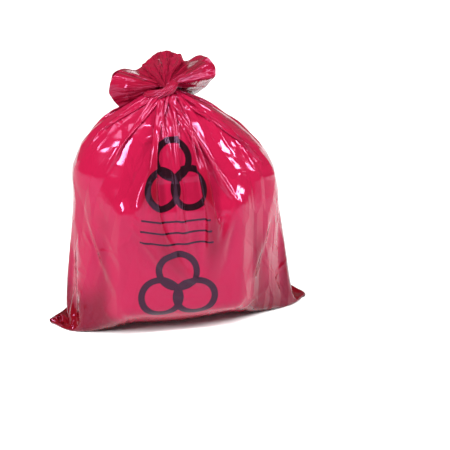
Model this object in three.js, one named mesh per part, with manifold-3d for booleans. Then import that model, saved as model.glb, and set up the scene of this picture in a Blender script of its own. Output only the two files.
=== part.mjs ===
// Full clinical waste bag: one tube of thin red film, filled and tied shut in its own neck.
// Units are millimetres, +Z is up, +X runs along the bottom seal and -Y is the printed front.
// The origin is the middle of the base, on the floor.
// The film is 0.03 mm thick and the waste fills it, so bag and filling are one closed solid.

import * as THREE from 'three';
import { mergeVertices } from 'three/addons/utils/BufferGeometryUtils.js';
import Module from 'manifold-3d';

// Base: the bottom seal lies flat on the floor and ends in two pinched corners.
const BASE_HALF_WIDTH = 276;
const BASE_HALF_DEPTH = 50;
const FOOT_HEIGHT = 17;
const FOOT_HALF_WIDTH = 270;
const FOOT_HALF_DEPTH = 82;

// Body: the filling stands the film upright between heel and shoulder.
const HEEL_HEIGHT = 54;
const HEEL_HALF_WIDTH = 250;
const HEEL_HALF_DEPTH = 128;
const WAIST_HEIGHT = 190;
const WAIST_HALF_WIDTH = 231;
const WAIST_HALF_DEPTH = 148;
const CHEST_HEIGHT = 280;
const CHEST_HALF_WIDTH = 220;
const CHEST_HALF_DEPTH = 138;
const SHOULDER_HEIGHT = 340;
const SHOULDER_HALF_WIDTH = 212;
const SHOULDER_HALF_DEPTH = 119;

// Slope: the film runs in from the shoulder to the tied neck.
const SLOPE_HEIGHT = 400;
const SLOPE_HALF_WIDTH = 181;
const SLOPE_HALF_DEPTH = 100;
const COLLAR_HEIGHT = 450;
const COLLAR_HALF_WIDTH = 127;
const COLLAR_HALF_DEPTH = 69;
const THROAT_HEIGHT = 477;
const THROAT_HALF_WIDTH = 80;
const THROAT_HALF_DEPTH = 45;
const NECK_HEIGHT = 494;
const NECK_RADIUS = 20;
const NECK_LENGTH = 26;
const NECK_OFFSET = -27;

// Gathers: the folds that run out from the neck over the slope.
const GATHER_COUNT = 12;
const GATHER_DEPTH = 8;

// Knot: the neck's own film drawn round it once, lower on the left.
const KNOT_RADIUS = 22;
const KNOT_THICKNESS = 20;
const KNOT_TILT = THREE.MathUtils.degToRad(18);
const KNOT_ABOVE_NECK = 14;

// Mouth: the loose film above the knot, fanned out in a left, a top and a right lobe.
// A lobe's direction turns from the fan's right edge over the top; its lean tips it back from upright.
const MOUTH_ABOVE_NECK = 20;
const MOUTH_TURN = THREE.MathUtils.degToRad(-14);
const MOUTH_FROM = -22;
const MOUTH_TO = 205;
const MOUTH_THROAT_RADIUS = 12;
const MOUTH_VALLEY_REACH = 80;
const MOUTH_VALLEY_THICKNESS = 14;
const MOUTH_VALLEY_LEAN = 50;
const MOUTH_DISH = 0.45;
const RUFFLE_COUNT = 11;
const RUFFLE_DEPTH = 5;
const LOBES = [
  { direction: 184, spread: 26, reach: 118, thickness: 48, lean: 0 },
  { direction: 102, spread: 30, reach: 102, thickness: 34, lean: 64 },
  { direction: 20, spread: 26, reach: 112, thickness: 42, lean: 14 },
];

// How finely the shape is faceted.
const STEPS_AROUND = 96;
const STEPS_PER_SPAN = 4;
const STEPS_OVER_MOUTH = 44;
const STEPS_UP_MOUTH = 6;

// Each station gives the film's section at one height: half sizes, sideways shift and corner shape.
// A larger flatness squares the section up; an end power of 1 draws its two ends out to a point.
const stations = [
  { z: 0, halfWidth: BASE_HALF_WIDTH, halfDepth: BASE_HALF_DEPTH, shift: 0, flatness: 3, endPower: 0.8 },
  { z: FOOT_HEIGHT, halfWidth: FOOT_HALF_WIDTH, halfDepth: FOOT_HALF_DEPTH,
    shift: 0, flatness: 3.2, endPower: 0.75 },
  { z: HEEL_HEIGHT, halfWidth: HEEL_HALF_WIDTH, halfDepth: HEEL_HALF_DEPTH,
    shift: 0, flatness: 2.8, endPower: 0.75 },
  { z: WAIST_HEIGHT, halfWidth: WAIST_HALF_WIDTH, halfDepth: WAIST_HALF_DEPTH,
    shift: NECK_OFFSET * 0.14, flatness: 2.8, endPower: 0.8 },
  { z: CHEST_HEIGHT, halfWidth: CHEST_HALF_WIDTH, halfDepth: CHEST_HALF_DEPTH,
    shift: NECK_OFFSET * 0.25, flatness: 3.2, endPower: 0.7 },
  { z: SHOULDER_HEIGHT, halfWidth: SHOULDER_HALF_WIDTH, halfDepth: SHOULDER_HALF_DEPTH,
    shift: NECK_OFFSET * 0.5, flatness: 2.4, endPower: 0.55 },
  { z: SLOPE_HEIGHT, halfWidth: SLOPE_HALF_WIDTH, halfDepth: SLOPE_HALF_DEPTH,
    shift: NECK_OFFSET * 0.86, flatness: 1.9, endPower: 0.5 },
  { z: COLLAR_HEIGHT, halfWidth: COLLAR_HALF_WIDTH, halfDepth: COLLAR_HALF_DEPTH,
    shift: NECK_OFFSET, flatness: 2.2, endPower: 0.65 },
  { z: THROAT_HEIGHT, halfWidth: THROAT_HALF_WIDTH, halfDepth: THROAT_HALF_DEPTH,
    shift: NECK_OFFSET, flatness: 2, endPower: 0.6 },
  { z: NECK_HEIGHT, halfWidth: NECK_RADIUS, halfDepth: NECK_RADIUS,
    shift: NECK_OFFSET, flatness: 2, endPower: 0.5 },
  { z: NECK_HEIGHT + NECK_LENGTH, halfWidth: NECK_RADIUS, halfDepth: NECK_RADIUS,
    shift: NECK_OFFSET, flatness: 2, endPower: 0.5 },
];

const stationKeys = ['halfWidth', 'halfDepth', 'shift', 'flatness', 'endPower'];

// A station value at one height, on a curve that never swings past the stations on either side.
function stationValue(key, z) {
  const last = stations.length - 2;
  const found = stations.findIndex((station) => station.z > z) - 1;
  const span = found < 0 ? last : found;
  const slopeOf = (i) => (stations[i + 1][key] - stations[i][key]) / (stations[i + 1].z - stations[i].z);
  const tangentOf = (i) => {
    if (i === 0) {
      return slopeOf(0);
    }
    if (i > last) {
      return slopeOf(last);
    }
    const before = slopeOf(i - 1);
    const after = slopeOf(i);
    return before * after <= 0 ? 0 : (2 * before * after) / (before + after);
  };
  const length = stations[span + 1].z - stations[span].z;
  const t = (z - stations[span].z) / length;
  const start = stations[span][key];
  const end = stations[span + 1][key];
  return start + (end - start) * t * t * (3 - 2 * t)
    + length * t * (1 - t) * ((1 - t) * tangentOf(span) - t * tangentOf(span + 1));
}

// One closed ring of points round the film at a height.
function filmRing(z) {
  const [halfWidth, halfDepth, shift, flatness, endPower] = stationKeys.map((key) => stationValue(key, z));
  const slope = THREE.MathUtils.smoothstep(z, SHOULDER_HEIGHT, SLOPE_HEIGHT);
  const closing = 1 - THREE.MathUtils.smoothstep(z, COLLAR_HEIGHT, NECK_HEIGHT);
  const gather = GATHER_DEPTH * slope * (0.2 + 0.8 * closing);
  const ring = [];
  for (let i = 0; i < STEPS_AROUND; i += 1) {
    const angle = (i / STEPS_AROUND) * 2 * Math.PI;
    const across = Math.cos(angle);
    const depth = (1 - Math.abs(across) ** flatness) ** endPower;
    const fold = 1 - Math.abs(Math.sin((angle * GATHER_COUNT) / 2)) * 2;
    const point = new THREE.Vector3(halfWidth * across, halfDepth * depth * Math.sign(Math.sin(angle)), 0);
    const length = point.length();
    point.setLength(Math.max(length + (gather * fold) / 2, length / 2));
    point.x += shift;
    point.z = z;
    ring.push(point);
  }
  return ring;
}

// A closed solid through a stack of rings, capped flat or to a point at each end.
function loftRings(rings) {
  const count = rings[0].length;
  const points = rings.flat();
  const triangles = [];
  for (let row = 0; row < rings.length - 1; row += 1) {
    for (let i = 0; i < count; i += 1) {
      const a = row * count + i;
      const b = row * count + ((i + 1) % count);
      triangles.push(a, b, b + count, a, b + count, a + count);
    }
  }
  const middleOf = (ring) => ring
    .reduce((sum, point) => sum.add(point), new THREE.Vector3())
    .divideScalar(count);
  const bottom = points.push(middleOf(rings[0])) - 1;
  const top = points.push(middleOf(rings[rings.length - 1])) - 1;
  const last = (rings.length - 1) * count;
  for (let i = 0; i < count; i += 1) {
    const next = (i + 1) % count;
    triangles.push(bottom, next, i, top, last + i, last + next);
  }
  const geometry = new THREE.BufferGeometry().setFromPoints(points);
  geometry.setIndex(triangles);
  return geometry;
}

function bodyGeometry() {
  const rings = [];
  for (let span = 0; span < stations.length - 1; span += 1) {
    const rise = stations[span + 1].z - stations[span].z;
    for (let step = 0; step < STEPS_PER_SPAN; step += 1) {
      rings.push(filmRing(stations[span].z + (rise * step) / STEPS_PER_SPAN));
    }
  }
  rings.push(filmRing(stations[stations.length - 1].z));
  return loftRings(rings);
}

// The fan's own axes: to its right, back from it, and up.
const fanRight = new THREE.Vector3(Math.cos(MOUTH_TURN), Math.sin(MOUTH_TURN), 0);
const fanBack = new THREE.Vector3(-Math.sin(MOUTH_TURN), Math.cos(MOUTH_TURN), 0);
const fanUp = new THREE.Vector3(0, 0, 1);
const fanBase = new THREE.Vector3(NECK_OFFSET, 0, NECK_HEIGHT + MOUTH_ABOVE_NECK);

// The fan's reach, thickness and lean in one direction, blended between the lobes.
function fanAt(direction) {
  const fan = { reach: MOUTH_VALLEY_REACH, thickness: MOUTH_VALLEY_THICKNESS, lean: MOUTH_VALLEY_LEAN };
  for (const lobe of LOBES) {
    const share = Math.exp(-(((direction - lobe.direction) / lobe.spread) ** 2));
    fan.reach += (lobe.reach - MOUTH_VALLEY_REACH) * share;
    fan.thickness += (lobe.thickness - MOUTH_VALLEY_THICKNESS) * share;
    fan.lean += (lobe.lean - MOUTH_VALLEY_LEAN) * share;
  }
  return fan;
}

// A point of the fan: out from the throat by a share of the reach, and off its middle by a side from -1 to 1.
function fanPoint(over, out, side) {
  const direction = THREE.MathUtils.lerp(MOUTH_FROM, MOUTH_TO, over);
  const { reach, thickness, lean } = fanAt(direction);
  const angle = THREE.MathUtils.degToRad(direction);
  const tip = THREE.MathUtils.degToRad(lean);
  const radius = THREE.MathUtils.lerp(MOUTH_THROAT_RADIUS, reach, out);
  const edge = Math.sin(Math.PI * over) ** 0.4;
  const ruffle = RUFFLE_DEPTH * out * edge * Math.cos(2 * Math.PI * RUFFLE_COUNT * over);
  const offset = (thickness / 2) * edge * Math.sin((Math.PI / 2) * Math.min(1, 0.25 + out)) * side + ruffle;
  return fanBase.clone()
    .addScaledVector(fanRight, radius * Math.cos(angle))
    .addScaledVector(fanUp, radius * Math.sin(angle) * Math.cos(tip) + offset * Math.sin(tip))
    .addScaledVector(fanBack, radius * Math.sin(angle) * Math.sin(tip) - offset * Math.cos(tip));
}

// The fan of the mouth: a front and a back layer of film that meet at both edges, dished in at the rim.
function mouthGeometry() {
  const points = [];
  const triangles = [];
  const columns = STEPS_OVER_MOUTH + 1;
  const layer = (side, outs) => {
    const first = points.length;
    for (const out of outs) {
      for (let i = 0; i < columns; i += 1) {
        const atEdge = i === 0 || i === STEPS_OVER_MOUTH;
        points.push(fanPoint(i / STEPS_OVER_MOUTH, out, atEdge ? 0 : side));
      }
    }
    return first;
  };
  const join = (a, b, flip) => {
    for (let i = 0; i < STEPS_OVER_MOUTH; i += 1) {
      const quad = [a + i, a + i + 1, b + i + 1, b + i];
      if (flip) {
        quad.reverse();
      }
      triangles.push(quad[0], quad[1], quad[2], quad[0], quad[2], quad[3]);
    }
  };
  const outs = Array.from({ length: STEPS_UP_MOUTH + 1 }, (unused, step) => step / STEPS_UP_MOUTH);
  const front = layer(1, outs);
  const back = layer(-1, outs);
  for (let step = 0; step < STEPS_UP_MOUTH; step += 1) {
    join(front + step * columns, front + (step + 1) * columns, true);
    join(back + step * columns, back + (step + 1) * columns, false);
  }
  join(front, back, false);
  const dish = points.length;
  for (let i = 0; i < columns; i += 1) {
    const over = i / STEPS_OVER_MOUTH;
    points.push(fanPoint(over, 1 - MOUTH_DISH * Math.sin(Math.PI * over) ** 0.5, 0));
  }
  join(front + STEPS_UP_MOUTH * columns, dish, true);
  join(dish, back + STEPS_UP_MOUTH * columns, true);
  const geometry = new THREE.BufferGeometry().setFromPoints(points);
  geometry.setIndex(triangles);
  return geometry;
}

function knotGeometry() {
  return new THREE.TorusGeometry(KNOT_RADIUS, KNOT_THICKNESS / 2, 10, 36)
    .rotateY(KNOT_TILT)
    .translate(NECK_OFFSET, 0, NECK_HEIGHT + KNOT_ABOVE_NECK);
}

const wasm = await Module();
wasm.setup();

// A closed geometry as a solid that can be joined.
function solidOf(geometry) {
  const bare = geometry.index ? geometry.toNonIndexed() : geometry.clone();
  bare.deleteAttribute('normal');
  bare.deleteAttribute('uv');
  const merged = mergeVertices(bare, 1e-3);
  return new wasm.Manifold(new wasm.Mesh({
    numProp: 3,
    vertProperties: merged.attributes.position.array,
    triVerts: new Uint32Array(merged.index.array),
  }));
}

function geometryOf(solid) {
  const mesh = solid.getMesh();
  const geometry = new THREE.BufferGeometry();
  geometry.setAttribute('position', new THREE.BufferAttribute(mesh.vertProperties, 3));
  geometry.setIndex(new THREE.BufferAttribute(mesh.triVerts, 1));
  geometry.computeVertexNormals();
  return geometry;
}

const film = new THREE.MeshStandardMaterial({ color: 0xc81e3c, roughness: 0.25, metalness: 0 });
const bagSolid = solidOf(bodyGeometry()).add(solidOf(knotGeometry())).add(solidOf(mouthGeometry()));
const bag = new THREE.Mesh(geometryOf(bagSolid), film);
bag.name = 'bag';

const wasteBag = new THREE.Group();
wasteBag.add(bag);
export default wasteBag;
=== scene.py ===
# %% [markdown]
# # A full clinical waste bag of thin red film
#
# The bag is one flat tube of glossy film, sealed along the bottom, filled, gathered at the top and
# knotted in its own neck. Nothing on it is stiff: every fold is there because flat film has been
# made to go round a full body and then into a neck a few fingers wide. So the folds aren't drawn
# here. The film is laid round the filling at its real size and settles by itself.

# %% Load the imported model
import math

import bpy
import numpy as np
from mathutils import Matrix, Vector


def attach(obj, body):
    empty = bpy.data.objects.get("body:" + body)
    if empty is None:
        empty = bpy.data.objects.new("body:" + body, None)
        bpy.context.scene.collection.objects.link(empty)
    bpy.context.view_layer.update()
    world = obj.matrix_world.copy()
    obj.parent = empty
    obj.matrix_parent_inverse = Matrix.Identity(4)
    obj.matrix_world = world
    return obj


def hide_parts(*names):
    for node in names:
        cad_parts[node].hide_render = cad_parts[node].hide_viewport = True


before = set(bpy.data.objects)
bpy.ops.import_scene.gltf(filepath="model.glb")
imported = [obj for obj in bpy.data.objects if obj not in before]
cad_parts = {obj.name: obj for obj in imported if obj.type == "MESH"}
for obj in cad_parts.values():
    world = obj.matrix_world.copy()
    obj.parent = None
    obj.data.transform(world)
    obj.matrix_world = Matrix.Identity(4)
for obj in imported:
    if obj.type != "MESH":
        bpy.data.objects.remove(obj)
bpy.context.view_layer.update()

# %% [markdown]
# ## The camera
#
# A long lens from a little above, turned to the bag's left, so that its right corner is farther
# away. The place is worked back from one point: where the middle of the base shows in the picture.

# %% Camera
PICTURE = 450
FOCAL = 1551
TURN = math.radians(-14)
PITCH = math.radians(21.5)
DISTANCE = 3.397
BASE_AT = (176, 311)
BASE_POINT = Vector((-0.010, 0, 0))

right = Vector((math.cos(TURN), math.sin(TURN), 0))
back = Vector((math.sin(TURN) * math.cos(PITCH), -math.cos(TURN) * math.cos(PITCH), math.sin(PITCH)))
up = back.cross(right)
across = (BASE_AT[0] - PICTURE / 2) / FOCAL
down = (BASE_AT[1] - PICTURE / 2) / FOCAL
place = BASE_POINT + DISTANCE * (back - across * right + down * up)

camera_data = bpy.data.cameras.new("camera")
camera_data.sensor_width = 36
camera_data.lens = FOCAL / PICTURE * 36
camera = bpy.data.objects.new("camera", camera_data)
bpy.context.scene.collection.objects.link(camera)
camera.matrix_world = Matrix.Translation(place) @ Matrix((right, up, back)).transposed().to_4x4()
bpy.context.scene.camera = camera
print("camera at", [round(v, 3) for v in place], "lens", round(camera_data.lens, 1))

# %% [markdown]
# ## The film's own sizes
#
# All lengths of the film are in millimetres until the mesh is made. The tube is 610 mm wide when
# flat, so 1220 mm round, and 822 mm long with the strip below its bottom seal. Every point of the
# film has two numbers, how far round the tube and how far up it, and these stay the same however
# the film folds. They place the print later on.

# %% Film sizes
FLAT_WIDTH = 610.0
FILM_LENGTH = 822.0
SEAL_STRIP = 9.0
NECK_X = -27.0
NECK_Z = 494.0
NECK_RADIUS = 17.0
NECK_LENGTH = 26.0
NECK_FROM = 648.0
NECK_TO = 706.0
PLEATS = 30
GIRTH = 2 * FLAT_WIDTH
print("film", FLAT_WIDTH, "by", FILM_LENGTH, "mm flat")

# %% [markdown]
# ## The filling
#
# Nobody sees the filling, but the film shows it: a box stands behind the front, with soft waste
# round it and over it. One way is to model those things and let the film touch them. It is quicker
# to ask one question at every point of space: how far is it to the filling, and which way is out?
# The answers are kept on a grid of 8 mm, and the film reads them there.

# %% Filling
# Height, half width, half depth, middle and how square the section is, at some heights of the waste.
WASTE = np.array([
    [0, 195, 60, 0, 2.3],
    [54, 212, 80, -4, 2.3],
    [109, 219, 92, -8, 2.4],
    [163, 221, 98, -7, 2.4],
    [217, 220, 106, -3, 2.4],
    [271, 218, 114, -4, 2.4],
    [324, 215, 116, -11, 2.3],
    [350, 208, 112, -16, 2.2],
    [377, 194, 104, -20, 2.1],
    [400, 178, 94, -26, 2.0],
    [427, 150, 82, -30, 2.0],
    [450, 118, 66, -30, 2.0],
    [475, 72, 38, -28, 2.0],
    [505, 10, 10, -27, 2.0],
])
BOX_MIDDLE = (-17.0, 2.0, 176.0)
BOX_HALF = (144.0, 132.0, 136.0)
BOX_ROUNDING = 36.0
BOX_TURN = math.radians(-2)
WASTE_BOTTOM = 4.0
WASTE_TOP = 500.0
WASTE_ROUNDING = 30.0
GRID_LOW = np.array([-320.0, -200.0, -24.0])
GRID_STEP = 8.0
GRID_COUNT = (80, 50, 72)


def waste(height, column):
    return np.interp(height, WASTE[:, 0], WASTE[:, column])


def slope_of(values):
    gradient = np.gradient(values, GRID_STEP)
    return gradient, np.sqrt(sum(g * g for g in gradient)) + 1e-9


def filling_grid():
    """Distance to the filling and the direction out of it, four numbers at each grid point."""
    axes = [GRID_LOW[k] + GRID_STEP * np.arange(GRID_COUNT[k]) for k in range(3)]
    x, y, z = np.meshgrid(*axes, indexing="ij")
    half_width, half_depth, middle, corner = (waste(z, k) for k in (1, 2, 3, 4))
    share = (np.abs(x - middle) / half_width) ** corner + (np.abs(y) / half_depth) ** corner
    soft = share ** (1 / corner) - 1
    soft = np.clip(soft / slope_of(soft)[1], -150, 150)
    under = WASTE_BOTTOM - z
    soft = np.minimum(np.maximum(soft, under), -WASTE_ROUNDING) + np.hypot(
        np.maximum(soft + WASTE_ROUNDING, 0), np.maximum(under + WASTE_ROUNDING, 0))
    soft = np.maximum(soft, z - WASTE_TOP)
    cos, sin = math.cos(BOX_TURN), math.sin(BOX_TURN)
    dx, dy = x - BOX_MIDDLE[0], y - BOX_MIDDLE[1]
    local = (dx * cos + dy * sin, dy * cos - dx * sin, z - BOX_MIDDLE[2])
    past = [np.abs(local[k]) - BOX_HALF[k] + BOX_ROUNDING for k in range(3)]
    box = np.sqrt(sum(np.maximum(p, 0) ** 2 for p in past)) - BOX_ROUNDING
    box += np.minimum(np.maximum(np.maximum(past[0], past[1]), past[2]), 0)
    blend = np.clip(0.5 + 0.05 * (box - soft), 0, 1)
    distance = box * (1 - blend) + soft * blend - 10 * blend * (1 - blend)
    out, steepness = slope_of(distance)
    grid = np.stack([distance, *(g / steepness for g in out)], -1)
    return grid.reshape(-1, 4).astype(np.float32)


FILLING = filling_grid()


def read_filling(points):
    """The four numbers at each point, blended from the eight grid points round it."""
    spots = [(points[k].ravel() - GRID_LOW[k]) / GRID_STEP for k in range(3)]
    cells = [np.clip(spots[k].astype(np.int32), 0, GRID_COUNT[k] - 2) for k in range(3)]
    parts = [np.clip(spots[k] - cells[k], 0, 1).astype(np.float32)[:, None] for k in range(3)]
    first = (cells[0] * GRID_COUNT[1] + cells[1]) * GRID_COUNT[2] + cells[2]
    found = 0
    for i in (0, 1):
        for j in (0, 1):
            for k in (0, 1):
                share = ((parts[0] if i else 1 - parts[0]) * (parts[1] if j else 1 - parts[1])
                         * (parts[2] if k else 1 - parts[2]))
                found = found + share * FILLING[first + (i * GRID_COUNT[1] + j) * GRID_COUNT[2] + k]
    return found.T.reshape(4, *points.shape[1:])


print("filling grid", GRID_COUNT)

# %% [markdown]
# ## The film before it settles
#
# A simulation of cloth goes to the nearest rest it can find, so its start decides which folds it
# gets. The film starts wrapped round the filling, with its spare width in zigzag pleats that grow
# towards the neck. Above the neck the loose mouth starts as a flat double fan, like a shell: a lobe
# to the left, one to the right, and one between them that leans back.

# %% Fan of the mouth
# Direction over the fan in degrees and how far the rim shows from the knot, then how far the front
# and the back layer stand off the fan's middle.
FAN_REACH = np.array([
    [-25, 45], [-14, 54], [-4, 70], [9, 93], [16, 113], [28, 102], [42, 92], [53, 68], [60, 68],
    [65, 74], [82, 68], [100, 69], [120, 66], [142, 68], [152, 70], [156, 84], [160, 100],
    [172, 112], [184, 115], [195, 110], [204, 103],
])
FAN_LAYERS = np.array([
    [-25, 6, -6], [15, 26, -16], [40, 14, -30], [60, 5, -12], [85, 16, -44], [115, 14, -46],
    [150, 6, -16], [170, 20, -28], [187, 30, -22], [204, 14, -10],
])
FAN_FROM, FAN_TO = -22, 205
FAN_FILM = 100.0
FAN_PLEATS = 8
FAN_RIGHT = np.array([math.cos(TURN), math.sin(TURN), 0.0])[:, None]
FAN_FRONT = np.array([math.sin(TURN), -math.cos(TURN), 0.0])[:, None]
FAN_UP = np.array([0.0, 0.0, 1.0])[:, None]


def zigzag(angle):
    """A wave of straight runs from -1 to 1 that repeats each turn."""
    return 1 - np.abs(((angle / np.pi) % 2) - 1) * 2


def length_round(ring):
    return np.sqrt(((np.roll(ring, -1, 1) - ring) ** 2).sum(0)).sum()


def spare(ring):
    """How much zigzag a ring of points needs to be as long as the film is round."""
    return math.sqrt(max(GIRTH ** 2 - length_round(ring) ** 2, 0))


def zigzag_height(needed, wave):
    return needed / np.abs(np.diff(np.append(wave, wave[0]))).sum()


def fan_ring(part, columns, turn):
    """One row of the mouth, part of the way from the knot, 0, to the rim, 1."""
    half = columns // 2
    index = np.arange(columns)
    over = np.where(index <= half, index / half, 2 - index / half)
    is_front = index > half
    direction = FAN_FROM + (FAN_TO - FAN_FROM) * over
    reach = np.interp(direction, FAN_REACH[:, 0], FAN_REACH[:, 1])
    layer = np.where(is_front, np.interp(direction, FAN_LAYERS[:, 0], FAN_LAYERS[:, 1]),
                     np.interp(direction, FAN_LAYERS[:, 0], FAN_LAYERS[:, 2]))
    layer = layer * np.sin(np.pi * over) ** 0.35 * math.sin(min(part * 1.25, 1) * np.pi / 2)
    throat = 12.0
    shown = throat + (reach - throat) * part ** 0.95
    film = throat + (np.maximum(reach, FAN_FILM) - throat) * part ** 0.95
    side = shown * np.cos(np.radians(direction))
    seen_up = shown * np.sin(np.radians(direction))
    # Film that is longer than it shows leans away: solve for how far back it goes.
    look_up, look_back = math.cos(PITCH), math.sin(PITCH)
    rest = np.maximum(film ** 2 - side ** 2, 0)
    a = 1 + (look_back / look_up) ** 2
    b = -2 * look_back * seen_up / look_up ** 2
    c = (seen_up / look_up) ** 2 - rest
    lean = np.maximum((-b + np.sqrt(np.maximum(b * b - 4 * a * c, 0))) / (2 * a), 0)
    rise = (seen_up - look_back * lean) / look_up
    ring = FAN_RIGHT * side + FAN_UP * rise + FAN_FRONT * (layer - lean)
    # No two pleats are alike: their width and height change over the fan.
    uneven = over + 0.022 * np.sin(14 * over + 2 * is_front) + 0.008 * np.sin(37 * over)
    wave = zigzag(2 * np.pi * FAN_PLEATS * uneven + 0.8 + 1.3 * is_front)
    height = (3 + 5 * part) * (1 + 0.6 * np.sin(9 * over + 3 * is_front))
    neck = np.stack([np.cos(turn), np.sin(turn), 0 * turn]) * NECK_RADIUS * 0.7
    blend = min(part * 4, 1)
    ring = neck * (1 - blend) + (ring + FAN_FRONT * height * wave) * blend
    return ring + np.array([NECK_X, 0.0, NECK_Z + NECK_LENGTH * 0.75])[:, None]


print("mouth of", round(FILM_LENGTH - NECK_TO), "mm")

# %% Film round the filling
DEPTH_AT = ([0, 50, 110, 200, 300, 340, 390, 440, 475, 500],
            [75, 116, 133, 136, 134, 124, 102, 76, 40, 18])
EAR_HEIGHT = 150
EAR_REACH = 48
GATHER_FROM = 450
THROAT_FROM = 472
# The film lies flat over the middle of the front, and its spare width goes to the shoulders.
FLAT_REACH = 125.0
FLAT_FADE = 120
SIDE_FADE = 70
SLOPE_FROM = 310
WIDE_PLEATS = 7
MIDDLE_PLEATS = 19
DEEPEST_PLEAT = 60.0
# Small random shifts start the crumples, which are mostly above the filling's box.
CRUMPLE_FROM = 300
CRUMPLE_FADE = 100
CRUMPLE_LEAST = 0.3
CRUMPLE_MORE = 2.5
# The seal is longer than the bag's base is wide, so it swings from side to side underneath.
SEAM_SWING = 26
SEAM_WAVE = 277


def outline_ring(z, turn):
    """The bag's section at a height: squared by the filling, drawn out to two ears at the floor."""
    cos, sin = np.cos(turn), np.sin(turn)
    ear = float(np.clip(1 - z / EAR_HEIGHT, 0, 1)) ** 1.3
    corner = 2 / waste(z, 4)
    half_width = waste(z, 1) + 7 + ear * EAR_REACH
    depth = (np.abs(sin) ** corner * 0.6 + 0.4 * np.abs(sin)) * (1 - ear) + ear * np.abs(sin) ** 1.8
    x = waste(z, 3) + half_width * np.sign(cos) * np.abs(cos) ** (corner * (1 - ear) + ear * 0.9)
    y = np.interp(z, *DEPTH_AT) * depth * np.sign(np.round(sin, 9)) * (z > 0)
    y = y + SEAM_SWING * np.sin(2 * np.pi * x / SEAM_WAVE) * float(np.clip(1 - z / 30, 0, 1))
    gathered = float(np.clip((z - GATHER_FROM) / (NECK_Z - GATHER_FROM), 0, 1))
    gathered = gathered * gathered * (3 - 2 * gathered)
    x = x * (1 - gathered) + (NECK_X + NECK_RADIUS * cos) * gathered
    y = y * (1 - gathered) + NECK_RADIUS * sin * gathered
    return np.stack([x, y, np.full_like(x, max(z, 1.0))])


def flat_reach(z):
    """How far the film lies flat to each side of the middle of the front, before its folds begin."""
    return FLAT_REACH * float(np.clip((NECK_Z - z) / FLAT_FADE, 0, 1))


def spaced_ring(ring, columns, z):
    """The outline with its points as far apart as on the film at the front, and evenly elsewhere."""
    half = ring.shape[1] // 2
    closed = np.concatenate([ring, ring[:, :1]], 1)
    halves = []
    for part, flat in ((closed[:, :half + 1], 0.0), (closed[:, half:], flat_reach(z))):
        run = np.append(0, np.cumsum(np.sqrt((np.diff(part, axis=1) ** 2).sum(0))))
        film_at = np.linspace(-FLAT_WIDTH / 2, FLAT_WIDTH / 2, columns // 2, endpoint=False)
        flat_run = min(flat, run[-1] * 0.4)
        away = np.interp(np.abs(film_at), [0, flat, FLAT_WIDTH / 2], [0, flat_run, run[-1] / 2])
        stops = run[-1] / 2 + np.sign(film_at) * away
        halves.append(np.stack([np.interp(stops, run, line) for line in part]))
    return np.concatenate(halves, 1)


def pleat_ring(ring, turn, shifts):
    """Folds a ring of the upper bag in and out until it is as long as the film."""
    z = float(ring[2].mean())
    in_throat = z > THROAT_FROM
    middle = np.array([[NECK_X if in_throat else waste(z, 3)], [0.0]])
    up_slope = float(np.clip((z - SLOPE_FROM) / (NECK_Z - SLOPE_FROM), 0, 1))
    uneven = turn + 0.12 * np.sin(3 * turn + shifts[2]) + 0.08 * np.sin(5 * turn + shifts[3])
    from_front = np.abs((turn - 0.5 * np.pi) % (2 * np.pi) - np.pi) * GIRTH / (2 * np.pi)
    at_sides = np.clip((from_front - flat_reach(z)) / SIDE_FADE, 0, 1) if z < NECK_Z - 5 else 1.0
    wave = at_sides * ((1 - up_slope) * zigzag(WIDE_PLEATS * uneven + shifts[0])
                       + 0.8 * (1 - abs(2 * up_slope - 1)) * zigzag(MIDDLE_PLEATS * uneven + shifts[1])
                       + 0.7 * (0.1 + up_slope ** 2) * zigzag(PLEATS * turn))
    height = min(zigzag_height(spare(ring), wave), DEEPEST_PLEAT) * min(max(z - 30, 0) / 60, 1)
    radius = np.sqrt(((ring[:2] - middle) ** 2).sum(0))
    folded = np.maximum(radius + height * (wave * 0.9 - (0.3 if in_throat else 0)), 4.0)
    ring[:2] = middle + (ring[:2] - middle) * (folded / np.maximum(radius, 1e-6))


def film_start(columns, rows, random):
    """The film before it settles: its place at each row and column, as (3, rows, columns)."""
    step = GIRTH / columns
    turn = 2 * np.pi * np.arange(columns) / columns
    along = np.arange(rows) * step
    heights = np.concatenate([[0], np.linspace(0, NECK_Z, 80)])
    fine_turn = 2 * np.pi * np.arange(1440) / 1440
    outline = np.array([spaced_ring(outline_ring(z, fine_turn), columns, z) for z in heights])
    outline = outline.transpose(1, 0, 2)
    runs = np.sqrt((np.diff(outline, axis=1) ** 2).sum(0))
    way_up = np.vstack([np.zeros(columns), np.cumsum(runs, 0)])
    film = np.zeros((3, rows, columns))
    body = int((along <= NECK_FROM).sum())
    share = np.clip(along[:body] - SEAL_STRIP, 0, None) / (NECK_FROM - SEAL_STRIP)
    for i in range(columns):
        for axis in range(3):
            film[axis, :body, i] = np.interp(share * way_up[-1, i], way_up[:, i], outline[axis, :, i])
    shifts = random.uniform(0, 2 * np.pi, 4)
    for row in range(body):
        if film[2, row].mean() > 40:
            pleat_ring(film[:, row], turn, shifts)
    for row in range(body, rows):
        if along[row] <= NECK_TO:
            pleat = GIRTH / (4 * PLEATS) * 0.95 * (1 - zigzag(PLEATS * turn))
            radius = np.maximum(NECK_RADIUS - pleat, 3.5)
            rise = NECK_LENGTH * (along[row] - NECK_FROM) / (NECK_TO - NECK_FROM)
            film[:, row] = np.stack([NECK_X + radius * np.cos(turn), radius * np.sin(turn),
                                     np.full(columns, NECK_Z + rise)])
        else:
            part = (along[row] - NECK_TO) / (FILM_LENGTH - NECK_TO)
            film[:, row] = fan_ring(part, columns, turn)
    upper = np.clip((along - CRUMPLE_FROM) / CRUMPLE_FADE, 0, 1) * (along < NECK_FROM)
    loose = CRUMPLE_LEAST + CRUMPLE_MORE * upper
    return film + random.normal(0, 1.0, film.shape) * loose[None, :, None]


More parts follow.
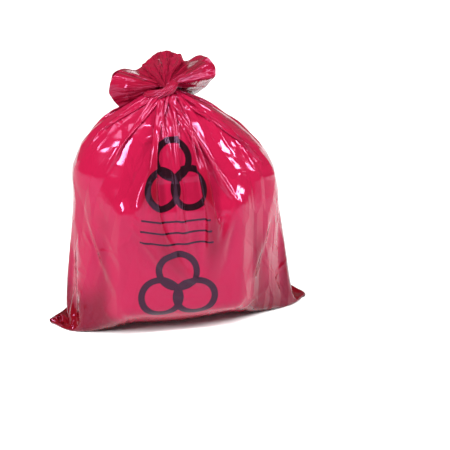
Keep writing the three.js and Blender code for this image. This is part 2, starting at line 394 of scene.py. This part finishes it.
print("start shape ready")

# %% [markdown]
# ## Settling
#
# Blender's own Cloth could do this, but a tube of film this thin wants tens of thousands of points
# and hundreds of steps. Film barely stretches, so the one thing that matters is length: each pair of
# neighbours is moved together or apart until it is as far apart as on the flat film. Done again and
# again, with a little air pressure, weight, the filling and the floor, that is a cloth solver. It
# works on whole rows and columns at once, and on a coarse film first, then on finer ones, so that
# large folds form before small ones.

# %% Solver
SPEED_KEPT = 0.9
STAND_OFF = 1.0
GRIP = 0.8
GRIP_WITHIN = 2.0
FLOOR_AT = 0.5
FLOOR_GRIP = 0.4
MOUTH_MEMORY = 0.92
EARS = (np.array([268.0, -8.0, 4.0], np.float32), np.array([-257.0, -6.0, 4.0], np.float32))


def hold_apart(a, b, rest, stiffness):
    """Moves two sets of points until each pair is its rest length apart, in place."""
    gap = b - a
    length = np.sqrt(gap[0] * gap[0] + gap[1] * gap[1] + gap[2] * gap[2]) + 1e-9
    gap *= (length - rest) / length * (0.5 * stiffness)
    a += gap
    b -= gap


def keep_lengths(film, step):
    """Edges across and along the film, and both diagonals of its squares."""
    rows = film.shape[1]
    hold_apart(film[:, :, 0::2], film[:, :, 1::2], step, 1.0)
    turned = np.roll(film, -1, 2)
    hold_apart(turned[:, :, 0::2], turned[:, :, 1::2], step, 1.0)
    film = np.roll(turned, 1, 2)
    for first in (0, 1):
        count = (rows - first) // 2 * 2
        low, high = film[:, first:first + count:2], film[:, first + 1:first + count:2]
        hold_apart(low, high, step, 1.0)
    for first in (0, 1):
        count = (rows - first) // 2 * 2
        low, high = film[:, first:first + count:2], film[:, first + 1:first + count:2]
        for side in (-1, 1):
            shifted = np.roll(high, side, 2)
            hold_apart(low, shifted, step * math.sqrt(2), 0.5)
            high[...] = np.roll(shifted, -side, 2)
    return film


def resist_bending(film, step, stiffness):
    """Points two apart are pushed back towards their flat distance."""
    columns = film.shape[2]
    for first in (0, 2):
        turned = np.roll(film, -first, 2)
        fours = turned.reshape(3, film.shape[1], columns // 4, 4)
        hold_apart(fours[..., 0:2], fours[..., 2:4], 2 * step, stiffness)
        film = np.roll(turned, first, 2)
    for first in range(4):
        a, b = film[:, first::4], film[:, first + 2::4]
        count = min(a.shape[1], b.shape[1])
        hold_apart(a[:, :count], b[:, :count], 2 * step, stiffness)
    return film


def outward(film, step):
    """The normal at each point, as long as the area that the point stands for."""
    across = np.roll(film, -1, 2) - np.roll(film, 1, 2)
    along = np.empty_like(film)
    along[:, 1:-1] = film[:, 2:] - film[:, :-2]
    along[:, 0] = film[:, 1] - film[:, 0]
    along[:, -1] = film[:, -1] - film[:, -2]
    return np.stack([across[1] * along[2] - across[2] * along[1],
                     across[2] * along[0] - across[0] * along[2],
                     across[0] * along[1] - across[1] * along[0]]) / (4 * step * step)


def settle(film, step, rounds, pressure, weight, bending):
    """Lets the film settle. Its neck stays as it is and its two ears are held near the floor."""
    film = film.astype(np.float32)
    rows, columns = film.shape[1:]
    along = np.arange(rows) * step
    neck = (along >= NECK_FROM) & (along <= NECK_TO)
    neck_place = film[:, neck].copy()
    mouth = int(np.searchsorted(along, NECK_TO))
    strip = int(round(SEAL_STRIP / step)) + 1
    half = columns // 2
    push = np.full((1, rows, 1), pressure, np.float32)
    push[:, mouth:] = 0
    push[:, :strip] = 0
    pull = np.full((rows, 1), weight, np.float32)
    pull[mouth:] = 0
    # The mouth was pulled into its shape, and crumpled film remembers that.
    mouth_place = film[:, mouth:].copy()
    before = film.copy()
    for count in range(rounds):
        speed = (film - before) * SPEED_KEPT
        before = film.copy()
        film += speed + outward(film, step) * push
        film[2] -= pull
        film = resist_bending(keep_lengths(film, step), step, bending)
        # The two layers are welded at the seal and in the strip below it.
        weld = (film[:, :strip, 1:half] + film[:, :strip, :half:-1]) * 0.5
        film[:, :strip, 1:half] = weld
        film[:, :strip, :half:-1] = weld
        if count % 2 == 0:
            found = read_filling(film[:, :mouth])
            inside = np.maximum(STAND_OFF - found[0], 0)
            film[:, :mouth] += found[1:] * inside
            # Film that touches the filling hardly slides on it.
            slide = film[:, :mouth] - before[:, :mouth]
            slide -= found[1:] * (slide * found[1:]).sum(0)
            film[:, :mouth] -= np.where(found[0] < GRIP_WITHIN, slide * GRIP, 0)
        film[:, mouth:] += (mouth_place - film[:, mouth:]) * MOUTH_MEMORY
        for column, ear in zip((0, half), EARS):
            film[:, :2, column] += (ear - film[:, 0, column])[:, None] * 0.5
        low = film[2] < FLOOR_AT
        film[2] = np.maximum(film[2], FLOOR_AT)
        before = np.where(low, before * (1 - FLOOR_GRIP) + film * FLOOR_GRIP, before)
        before[2] = np.where(low, film[2], before[2])
        film[:, neck] = neck_place
        before[:, neck] = neck_place
    return film


def finer(film, rows):
    """The same film with twice the points each way, on smooth curves through the old ones."""
    columns = film.shape[2]
    wide = np.empty((3, film.shape[1], 2 * columns))
    wide[:, :, 0::2] = film
    a, c, d = np.roll(film, 1, 2), np.roll(film, -1, 2), np.roll(film, -2, 2)
    wide[:, :, 1::2] = (-a + 9 * film + 9 * c - d) / 16
    tall = np.empty((3, 2 * wide.shape[1] - 1, 2 * columns))
    tall[:, 0::2] = wide
    ends = np.concatenate([wide[:, :1] * 2 - wide[:, 1:2], wide, wide[:, -1:] * 2 - wide[:, -2:-1]], 1)
    tall[:, 1::2] = (-ends[:, :-3] + 9 * ends[:, 1:-2] + 9 * ends[:, 2:-1] - ends[:, 3:]) / 16
    missing = rows - tall.shape[1]
    if missing > 0:
        last = tall[:, -1:] + (tall[:, -1:] - tall[:, -2:-1]) * np.arange(1, missing + 1)[None, :, None]
        tall = np.concatenate([tall, last], 1)
    return tall[:, :rows]


print("solver ready")

# %% Settle the film
SEED = 8
columns = 88
step = GIRTH / columns
rows = int(FILM_LENGTH / step) + 1
film = film_start(columns, rows, np.random.default_rng(SEED))
# Rounds, air pressure, weight and stiffness against bending on each finer film.
LEVELS = [(600, 0.0020, 0.012, 0.10), (600, 0.0008, 0.006, 0.06), (400, 0.0001, 0.003, 0.02)]
for level, (rounds, pressure, weight, bending) in enumerate(LEVELS):
    if level:
        columns *= 2
        step /= 2
        rows = int(FILM_LENGTH / step) + 1
        film = finer(film, rows)
    film = settle(film, step, rounds, pressure, weight, bending)
    print("film settled on", rows, "by", columns, "points,", round(step, 2), "mm apart")

# %% [markdown]
# ## From points to a mesh
#
# The grid becomes one mesh of quads. Two things that the solver knows are kept on it for the
# material. The first is how far the film stands off the filling, which sets painted light and shade
# in its colour: pink where it lies on pale waste, for the light that comes back through the film,
# and a deep red of painted shade where it has air behind it, which also darkens its folds. The second
# is how much it is squeezed, since spare film too small for this grid shows as fine ripples. A third
# number says where the film is crumpled: most where it is loose, at the shoulders, the sides and the
# mouth, and least in the middle of the front.

# %% Film mesh
# The neck, the mouth and the knot get a set stand-off from the filling. Their colour then comes out
# between the pink and the deep red: painted light, for the light that shines through their double
# layers from behind.
NECK_PAINTED_LIGHT_OFF_FILLING = 12.0
CALM_MIDDLE = 905.0
CALM_REACH = 170
CALM_TOP = 560
CALM_FADE = 120
CORNER_REACH = 90


def new_piece(name, points, faces):
    mesh = bpy.data.meshes.new(name)
    mesh.from_pydata(points, [], faces)
    mesh.shade_smooth()
    piece = bpy.data.objects.new(name, mesh)
    bpy.context.scene.collection.objects.link(piece)
    return piece


def keep_values(mesh, name, values):
    attribute = mesh.attributes.new(name, "FLOAT", "POINT")
    attribute.data.foreach_set("value", np.ascontiguousarray(values, np.float32).ravel())


def squeeze(lengths, axis):
    """How much shorter than flat the film is round each point, evened out over a few points."""
    short = np.clip(1 - lengths, 0, 0.6)
    for _ in range(3):
        short = (short + np.roll(short, 1, axis) + np.roll(short, -1, axis)) / 3
    return short


indices = np.arange(rows * columns).reshape(rows, columns)
beside = np.roll(indices, -1, 1)
quads = np.stack([indices[:-1], beside[:-1], beside[1:], indices[1:]], -1)
points = (film.transpose(1, 2, 0) / 1000).reshape(-1, 3)
bag_film = new_piece("bag_film", points.tolist(), quads.reshape(-1, 4).tolist())
bag_mesh = bag_film.data

across = np.sqrt(((np.roll(film, -1, 2) - film) ** 2).sum(0)) / step
upward = np.ones((rows, columns))
upward[:-1] = np.sqrt((np.diff(film, axis=1) ** 2).sum(0)) / step
off_filling = read_filling(film)[0]
along_film = np.arange(rows)[:, None] * step
# The neck and the mouth take that set stand-off: painted light, which makes them a lighter red than air
# behind them would.
off_filling = np.where(along_film > NECK_FROM, NECK_PAINTED_LIGHT_OFF_FILLING, off_filling)
keep_values(bag_mesh, "off_filling", off_filling)
keep_values(bag_mesh, "squeezed_across", squeeze(across, 1))
keep_values(bag_mesh, "squeezed_along", squeeze(upward, 0))

round_film = np.arange(columns) * step
from_front = np.abs(round_film - CALM_MIDDLE)
below_top = np.clip((CALM_TOP - along_film) / CALM_FADE, 0, 1)
calm = np.exp(-(from_front / CALM_REACH) ** 2)[None] * below_top
low_corner = np.exp(-(along_film / CORNER_REACH) ** 2)
keep_values(bag_mesh, "crumpled", 1 - 0.85 * calm * (1 - 0.5 * low_corner))

film_map = bag_mesh.uv_layers.new(name="OFBake")
corner_column = np.stack([np.arange(columns), np.arange(1, columns + 1)] * 2)[[0, 1, 3, 2]].T
corner_row = np.array([0, 0, 1, 1])
row_at = np.arange(rows - 1)[:, None, None] + corner_row
u = np.broadcast_to(corner_column[None] * step / GIRTH, (rows - 1, columns, 4))
v = np.broadcast_to(row_at * step / GIRTH, (rows - 1, columns, 4))
film_map.data.foreach_set("uv", np.stack([u, v], -1).astype(np.float32).ravel())

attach(bag_film, "root")
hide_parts("bag")
print("film mesh", len(bag_mesh.polygons), "quads")

# %% [markdown]
# ## The knot
#
# The knot is the same film, twisted into a rope and drawn round the neck once: it starts low on the
# left, crosses the front upwards and tucks in at the right. A rope of twisted film is a tube whose
# outline is pleated, and whose pleats turn as they run along it.

# %% Rope of twisted film
def rope(name, middle, thickness, pleats, twist, sides=56):
    """A closed ring of pleated film round the given loop of points, in millimetres."""
    count = len(middle)
    ahead = np.roll(middle, -1, 0) - np.roll(middle, 1, 0)
    ahead /= np.linalg.norm(ahead, axis=1)[:, None]
    out = middle - middle.mean(0)
    out -= ahead * (out * ahead).sum(1)[:, None]
    out /= np.linalg.norm(out, axis=1)[:, None]
    side = np.cross(ahead, out)
    turn = 2 * np.pi * np.arange(sides) / sides
    way = 2 * np.pi * np.arange(count)[:, None] / count
    crease = np.abs(np.sin(pleats * turn / 2 + twist * way + 0.5 * np.sin(3 * way)))
    crease = 0.72 + 0.28 * crease + 0.07 * np.sin(5 * way + 2 * turn)
    radius = (thickness[:, None] * crease)[..., None]
    ring = middle[:, None] + radius * (np.cos(turn)[None, :, None] * out[:, None]
                                       + 0.85 * np.sin(turn)[None, :, None] * side[:, None])
    place = np.arange(count * sides).reshape(count, sides)
    faces = np.stack([place, np.roll(place, -1, 0), np.roll(np.roll(place, -1, 0), -1, 1),
                      np.roll(place, -1, 1)], -1)
    piece = new_piece(name, (ring / 1000).reshape(-1, 3).tolist(), faces.reshape(-1, 4).tolist())
    # The knot takes the neck's set stand-off, so its colour carries the same painted light.
    keep_values(piece.data, "off_filling", np.full(count * sides, NECK_PAINTED_LIGHT_OFF_FILLING))
    keep_values(piece.data, "squeezed_across", np.full(count * sides, 0.15))
    keep_values(piece.data, "squeezed_along", np.full(count * sides, 0.05))
    keep_values(piece.data, "crumpled", np.full(count * sides, 0.4))
    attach(piece, "root")
    return piece


KNOT_Z = NECK_Z + 14
WRAP_REACH = 20
WRAP_BULGE = 16
WRAP_DEPTH = 22
WRAP_TILT = 11
TUCK_PLACE = (NECK_X + 8, -13, KNOT_Z + 3)

loop = np.linspace(0, 2 * np.pi, 120, endpoint=False)
# Facing the camera, the loop's left end is low and far out and its right end high and close in.
reach = WRAP_REACH + WRAP_BULGE * np.clip(-np.cos(loop), 0, 1) ** 2
wrap_middle = np.stack([NECK_X + reach * np.cos(loop), WRAP_DEPTH * np.sin(loop),
                        KNOT_Z + WRAP_TILT * np.cos(loop)], -1)
wrap_thickness = 9.5 + 2.0 * np.cos(loop + 2.2)
knot_wrap = rope("knot_wrap", wrap_middle, wrap_thickness, 9, 2)

tuck_middle = np.stack([TUCK_PLACE[0] + 11 * np.cos(loop), TUCK_PLACE[1] + 9 * np.sin(loop),
                        TUCK_PLACE[2] + 9 * np.sin(loop + 0.9)], -1)
knot_tuck = rope("knot_tuck", tuck_middle, 5.5 + 1.0 * np.sin(2 * loop), 7, -1)
print("knot of", len(knot_wrap.data.polygons) + len(knot_tuck.data.polygons), "faces")

# %% [markdown]
# ## What the film looks like
#
# The film is glossy and a little see-through. Making it really see-through would need the waste
# behind it, so its colour does that work as painted light and shade: pinker where the film lies on
# the filling, for the light that comes back through it, and a deep red of painted shade where there
# is only air behind it, which also darkens its folds. Two node groups are shared by all the film:
# one for its fine wrinkles, and one for its colour with that painted light and shade. The print is
# a third, placed by the film's own two numbers.

# %% Node helpers
def new_group(name, inputs, outputs):
    group = bpy.data.node_groups.new(name, "ShaderNodeTree")
    for socket, kind, value in inputs:
        made = group.interface.new_socket(socket, in_out="INPUT", socket_type=kind)
        if value is not None:
            made.default_value = value
    for socket, kind in outputs:
        group.interface.new_socket(socket, in_out="OUTPUT", socket_type=kind)
    return group, group.nodes.new("NodeGroupInput"), group.nodes.new("NodeGroupOutput")


def plug(tree, socket, value):
    if isinstance(value, bpy.types.NodeSocket):
        tree.links.new(value, socket)
    else:
        socket.default_value = value


def math_node(tree, operation, *values):
    node = tree.nodes.new("ShaderNodeMath")
    node.operation = operation
    for socket, value in zip(node.inputs, values):
        plug(tree, socket, value)
    return node.outputs[0]


def ramp(tree, value, low, high, to_low=0.0, to_high=1.0):
    node = tree.nodes.new("ShaderNodeMapRange")
    node.interpolation_type = "SMOOTHSTEP"
    for socket, number in zip(node.inputs, (value, low, high, to_low, to_high)):
        plug(tree, socket, number)
    return node.outputs[0]


def mix_colour(tree, factor, a, b):
    node = tree.nodes.new("ShaderNodeMix")
    node.data_type = "RGBA"
    plug(tree, node.inputs["Factor"], factor)
    plug(tree, node.inputs[6], a)
    plug(tree, node.inputs[7], b)
    return node.outputs[2]


def noise(tree, vector, scale, detail, distortion=0.0):
    node = tree.nodes.new("ShaderNodeTexNoise")
    plug(tree, node.inputs["Vector"], vector)
    plug(tree, node.inputs["Scale"], scale)
    node.inputs["Detail"].default_value = detail
    node.inputs["Distortion"].default_value = distortion
    return node.outputs["Fac"]


def stretched(tree, vector, x, y, degrees=0):
    node = tree.nodes.new("ShaderNodeMapping")
    plug(tree, node.inputs["Vector"], vector)
    node.inputs["Rotation"].default_value = (0, 0, math.radians(degrees))
    node.inputs["Scale"].default_value = (x, y, 1)
    return node.outputs[0]


print("helpers ready")

# %% [markdown]
# ### Fine wrinkles
#
# Film that has been folded keeps sharp little creases with flat facets between them. The edges of
# random cells are such straight lines, and noise lets only some of them show. The facets are larger
# cells, turned and drawn out up the film. Their distances are counted along two directions, which
# makes flat slopes instead of round bowls. Ripples run up the film where it is squeezed from the
# sides, and across it where it is squeezed from above.

# %% Wrinkle group
CREASE_HEIGHT = 0.8
FINE_CREASE_HEIGHT = 0.22
FACET_HEIGHT = 7.0
RIPPLE_HEIGHT = 2.0
FACET_SCALE = 16
FACET_STRETCH = (1.25, 0.5)
FACET_TURN = 28

wrinkles, wrinkles_in, wrinkles_out = new_group(
    "film wrinkles",
    [("Place", "NodeSocketVector", None), ("Squeezed across", "NodeSocketFloat", 0.0),
     ("Squeezed along", "NodeSocketFloat", 0.0), ("Creases", "NodeSocketFloat", 1.0)],
    [("Height", "NodeSocketFloat")],
)
film_place = wrinkles_in.outputs["Place"]


def crease_lines(tree, vector, scale, width, shown):
    """Straight creases: 1 on the edges of random cells, where noise lets them show, and else 0."""
    cells = tree.nodes.new("ShaderNodeTexVoronoi")
    cells.feature = "DISTANCE_TO_EDGE"
    plug(tree, cells.inputs["Vector"], vector)
    cells.inputs["Scale"].default_value = scale
    line = ramp(tree, cells.outputs["Distance"], 0.0, width, 1.0, 0.0)
    showing = ramp(tree, noise(tree, vector, scale * 0.7, 1), shown, shown + 0.15)
    return math_node(tree, "MULTIPLY", line, showing)


creases = crease_lines(wrinkles, film_place, 15, 0.10, 0.46)
fine_creases = crease_lines(wrinkles, stretched(wrinkles, film_place, 1.0, 0.7), 42, 0.16, 0.48)
facets = wrinkles.nodes.new("ShaderNodeTexVoronoi")
facets.distance = "MANHATTAN"
facet_place = stretched(wrinkles, film_place, *FACET_STRETCH, FACET_TURN)
plug(wrinkles, facets.inputs["Vector"], facet_place)
facets.inputs["Scale"].default_value = FACET_SCALE
across_ripples = noise(wrinkles, stretched(wrinkles, film_place, 260, 26), 1, 1, 0.3)
along_ripples = noise(wrinkles, stretched(wrinkles, film_place, 26, 300), 1, 1, 0.3)
parts = [
    math_node(wrinkles, "MULTIPLY", creases, CREASE_HEIGHT),
    math_node(wrinkles, "MULTIPLY", fine_creases, FINE_CREASE_HEIGHT),
    math_node(wrinkles, "MULTIPLY", facets.outputs["Distance"], FACET_HEIGHT),
]
total = math_node(wrinkles, "MULTIPLY",
                  math_node(wrinkles, "ADD", math_node(wrinkles, "ADD", *parts[:2]), parts[2]),
                  wrinkles_in.outputs["Creases"])
for ripples, amount in ((across_ripples, "Squeezed across"), (along_ripples, "Squeezed along")):
    strength = math_node(wrinkles, "MULTIPLY", wrinkles_in.outputs[amount], RIPPLE_HEIGHT)
    total = math_node(wrinkles, "ADD", total, math_node(wrinkles, "MULTIPLY", ripples, strength))
wrinkles.links.new(total, wrinkles_out.inputs["Height"])
print("wrinkle group", len(wrinkles.nodes), "nodes")

# %% [markdown]
# ### Colour of the film, with painted light and shade
#
# Two reds, mixed by how far the film stands off the filling, with a slow unevenness as in any blown
# film. Both are painted light. The pink stands for light that comes back through the film off the
# pale filling. The deep red is painted shade where there is air behind the film and in its folds.

# %% Colour group
# Stand-offs in mm: up to the first the film is painted pink, as if lit through from the filling, and
# from the second on it has the full deep red of painted shade.
LIT_THROUGH_TO = 1.0
FULL_PAINTED_SHADE_AT = 27.0
UNEVENNESS = 14.0

colour_and_painted_shade, colouring_in, colouring_out = new_group(
    "film colour and painted shade",
    [("Place", "NodeSocketVector", None), ("Off filling", "NodeSocketFloat", 0.0),
     ("Lit through on filling", "NodeSocketColor", (0.235, 0.004, 0.026, 1)),
     ("Painted shade over air", "NodeSocketColor", (0.105, 0.001, 0.004, 1))],
    [("Colour", "NodeSocketColor")],
)
uneven = noise(colour_and_painted_shade, colouring_in.outputs["Place"], 9, 3, 0.5)
shift = math_node(colour_and_painted_shade, "MULTIPLY", math_node(colour_and_painted_shade, "SUBTRACT", uneven, 0.5), UNEVENNESS)
# The mix paints light and shade into the colour: pink where light would come back through the film, and
# deep red as shade over air and in the folds.
stand_off = math_node(colour_and_painted_shade, "ADD", colouring_in.outputs["Off filling"], shift)
base = mix_colour(colour_and_painted_shade, ramp(colour_and_painted_shade, stand_off, LIT_THROUGH_TO, FULL_PAINTED_SHADE_AT),
                  colouring_in.outputs["Lit through on filling"], colouring_in.outputs["Painted shade over air"])
colour_and_painted_shade.links.new(base, colouring_out.inputs["Colour"])
print("colour group", len(colour_and_painted_shade.nodes), "nodes")

# %% [markdown]
# ### Print
#
# Black ink on the front of the film: two round ornaments of three plain rings, one above the other,
# with ruled lines to write on between them. The rings are distances from three points, so they need
# no picture, and they fold with the film because they are placed on it and not in space.

# %% Print group
PRINT_MIDDLE = 886.0
ORNAMENT_HEIGHTS = (212.0, 450.0)
RING_OUT = 41.0
RING_RADIUS = 40.0
RING_WIDTH = 14.0
LINE_HEIGHTS = (362.0, 338.0, 314.0)
LINE_HALF_LENGTH = 82.0
LINE_HALF_WIDTH = 2.2
INK_EDGE = 0.8
INK_COLOUR = (0.003, 0.002, 0.003, 1)

printed, printed_in, printed_out = new_group(
    "bag print",
    [("Place", "NodeSocketVector", None)],
    [("Ink", "NodeSocketFloat")],
)
split = printed.nodes.new("ShaderNodeSeparateXYZ")
printed.links.new(printed_in.outputs["Place"], split.inputs[0])
round_mm = math_node(printed, "MULTIPLY", split.outputs[0], GIRTH)
along_mm = math_node(printed, "MULTIPLY", split.outputs[1], GIRTH)


def distance_from(tree, x, y):
    dx = math_node(tree, "SUBTRACT", round_mm, x)
    dy = math_node(tree, "SUBTRACT", along_mm, y)
    return math_node(tree, "SQRT", math_node(tree, "ADD", math_node(tree, "MULTIPLY", dx, dx),
                                             math_node(tree, "MULTIPLY", dy, dy)))


def within(tree, off, half):
    """Ink up to half a width from a line's middle, with a short soft edge."""
    return ramp(tree, off, half - INK_EDGE, half + INK_EDGE, 1.0, 0.0)


def ring_ink(tree, x, y):
    off = math_node(tree, "SUBTRACT", distance_from(tree, x, y), RING_RADIUS)
    return within(tree, math_node(tree, "ABSOLUTE", off), RING_WIDTH / 2)


def line_ink(tree, x, y):
    off_x = math_node(tree, "ABSOLUTE", math_node(tree, "SUBTRACT", round_mm, x))
    off_y = math_node(tree, "ABSOLUTE", math_node(tree, "SUBTRACT", along_mm, y))
    return math_node(tree, "MULTIPLY", within(tree, off_x, LINE_HALF_LENGTH),
                     within(tree, off_y, LINE_HALF_WIDTH))


ink = 0.0
for y in ORNAMENT_HEIGHTS:
    for degrees in (90, 210, 330):
        ring_x = PRINT_MIDDLE + RING_OUT * math.cos(math.radians(degrees))
        ring_y = y + RING_OUT * math.sin(math.radians(degrees))
        ink = math_node(printed, "MAXIMUM", ink, ring_ink(printed, ring_x, ring_y))
for y in LINE_HEIGHTS:
    ink = math_node(printed, "MAXIMUM", ink, line_ink(printed, PRINT_MIDDLE, y))
worn = noise(printed, printed_in.outputs["Place"], 180, 3)
ink = math_node(printed, "MULTIPLY", ink, ramp(printed, worn, 0.2, 0.36, 0.86, 0.97))
printed.links.new(ink, printed_out.inputs["Ink"])
print("print group", len(printed.nodes), "nodes")

# %% [markdown]
# ### The film as a material
#
# One shader makes both the printed film of the bag and the plain film of the knot. It is smooth, so
# that the lamps show in it as sharp streaks, and its mirror image is tinted a little, because some
# of that light has been through the film. The bag is placed by its own two numbers, and the knot,
# which has none, by where it stands.

# %% Film material
def place_group(tree, group, **values):
    node = tree.nodes.new("ShaderNodeGroup")
    node.node_tree = group
    for name, value in values.items():
        plug(tree, node.inputs[name.replace("_", " ")], value)
    return node


def read_value(tree, name):
    node = tree.nodes.new("ShaderNodeAttribute")
    node.attribute_name = name
    return node.outputs["Fac"]


def film_material(name, has_print):
    material = bpy.data.materials.new(name)
    material.use_nodes = True
    tree = material.node_tree
    shader = tree.nodes["Principled BSDF"]
    if has_print:
        place_node = tree.nodes.new("ShaderNodeUVMap")
        place_node.uv_map = "OFBake"
        film_at = place_node.outputs[0]
    else:
        place_node = tree.nodes.new("ShaderNodeTexCoord")
        film_at = place_node.outputs["Object"]
    colour = place_group(tree, colour_and_painted_shade, Place=film_at, Off_filling=read_value(tree, "off_filling"))
    height = place_group(
        tree, wrinkles, Place=film_at, Creases=read_value(tree, "crumpled"),
        Squeezed_across=read_value(tree, "squeezed_across"),
        Squeezed_along=read_value(tree, "squeezed_along"),
    )
    seen = colour.outputs["Colour"]
    if has_print:
        ink_node = place_group(tree, printed, Place=film_at)
        seen = mix_colour(tree, ink_node.outputs["Ink"], seen, INK_COLOUR)
    tree.links.new(seen, shader.inputs["Base Color"])
    bump = tree.nodes.new("ShaderNodeBump")
    bump.inputs["Strength"].default_value = 1.0
    bump.inputs["Distance"].default_value = 0.0016
    tree.links.new(height.outputs["Height"], bump.inputs["Height"])
    tree.links.new(bump.outputs[0], shader.inputs["Normal"])
    rough = noise(tree, film_at, 14, 3)
    tree.links.new(ramp(tree, rough, 0.3, 0.7, 0.09, 0.17), shader.inputs["Roughness"])
    shader.inputs["IOR"].default_value = 1.5
    shader.inputs["Specular IOR Level"].default_value = 0.30
    shader.inputs["Specular Tint"].default_value = (1.0, 0.5, 0.95, 1)
    return material


printed_film = film_material("printed red film", True)
plain_film = film_material("plain red film", False)
bag_mesh.materials.append(printed_film)
knot_wrap.data.materials.append(plain_film)
knot_tuck.data.materials.append(plain_film)
print("film materials made")

# %% [markdown]
# ## Floor and light
#
# A white studio: a pale floor that runs out of the picture, a dim white sky, a wide sun overhead for
# the soft shadow, and three lamps: a tall, narrow one on each side and a wide one high in front.
# Gloss shows what is around it, so the size and place of the lamps decide where the folds flash
# pink. The lamps leave the far floor grey, so away from the bag it glows a little, and the picture
# stays white out to its edges.

# %% Floor
GLOW_FROM = 0.8
GLOW_FULL = 3.0
GLOW_COLOUR = (0.8, 0.8, 0.8, 1)

bpy.ops.mesh.primitive_plane_add(size=30)
floor = bpy.context.object
floor.name = "floor"
floor_material = bpy.data.materials.new("white floor")
floor_material.use_nodes = True
floor_tree = floor_material.node_tree
floor_shader = floor_tree.nodes["Principled BSDF"]
floor_shader.inputs["Base Color"].default_value = (0.9, 0.9, 0.9, 1)
floor_shader.inputs["Roughness"].default_value = 0.7
floor_place = floor_tree.nodes.new("ShaderNodeTexCoord").outputs["Object"]
far_off = floor_tree.nodes.new("ShaderNodeVectorMath")
far_off.operation = "LENGTH"
plug(floor_tree, far_off.inputs[0], floor_place)
glow = ramp(floor_tree, far_off.outputs["Value"], GLOW_FROM, GLOW_FULL)
glow_colour = mix_colour(floor_tree, glow, (0, 0, 0, 1), GLOW_COLOUR)
plug(floor_tree, floor_shader.inputs["Emission Color"], glow_colour)
floor_shader.inputs["Emission Strength"].default_value = 1.0
floor.data.materials.append(floor_material)
print("floor laid")

# %% Light
LAMP_AIM = Vector((0, 0, 0.28))
# Place, width and height of each lamp in metres, and its power in watts.
LAMPS = {
    "lamp_left": ((-1.8, -1.2, 1.7), (0.35, 1.1), 88),
    "lamp_right": ((1.9, -0.9, 1.5), (0.30, 1.0), 64),
    "lamp_front": ((0.3, -1.8, 3.2), (1.2, 0.3), 84),
}

world = bpy.data.worlds.new("studio")
world.use_nodes = True
background = world.node_tree.nodes["Background"]
background.inputs["Color"].default_value = (0.95, 0.97, 1.0, 1)
background.inputs["Strength"].default_value = 0.2
bpy.context.scene.world = world
for name, (lamp_place, size, power) in LAMPS.items():
    lamp = bpy.data.lights.new(name, "AREA")
    lamp.shape = "RECTANGLE"
    lamp.size, lamp.size_y = size
    lamp.energy = power
    lamp_object = bpy.data.objects.new(name, lamp)
    lamp_object.location = lamp_place
    aim = LAMP_AIM - Vector(lamp_place)
    lamp_object.rotation_euler = aim.to_track_quat("-Z", "Y").to_euler()
    bpy.context.scene.collection.objects.link(lamp_object)
sky = bpy.data.lights.new("soft_ceiling", "SUN")
sky.energy = 1.8
sky.angle = math.radians(26)
sky_object = bpy.data.objects.new("soft_ceiling", sky)
sky_object.rotation_euler = (math.radians(6), math.radians(-20), 0)
bpy.context.scene.collection.objects.link(sky_object)
bpy.context.scene.view_settings.view_transform = "Standard"
print("lamps", len(LAMPS))

# %% [markdown]
# ## The end
#
# The film has settled by itself, and the scene is brought up to date.

# %% The end
bpy.context.view_layer.update()
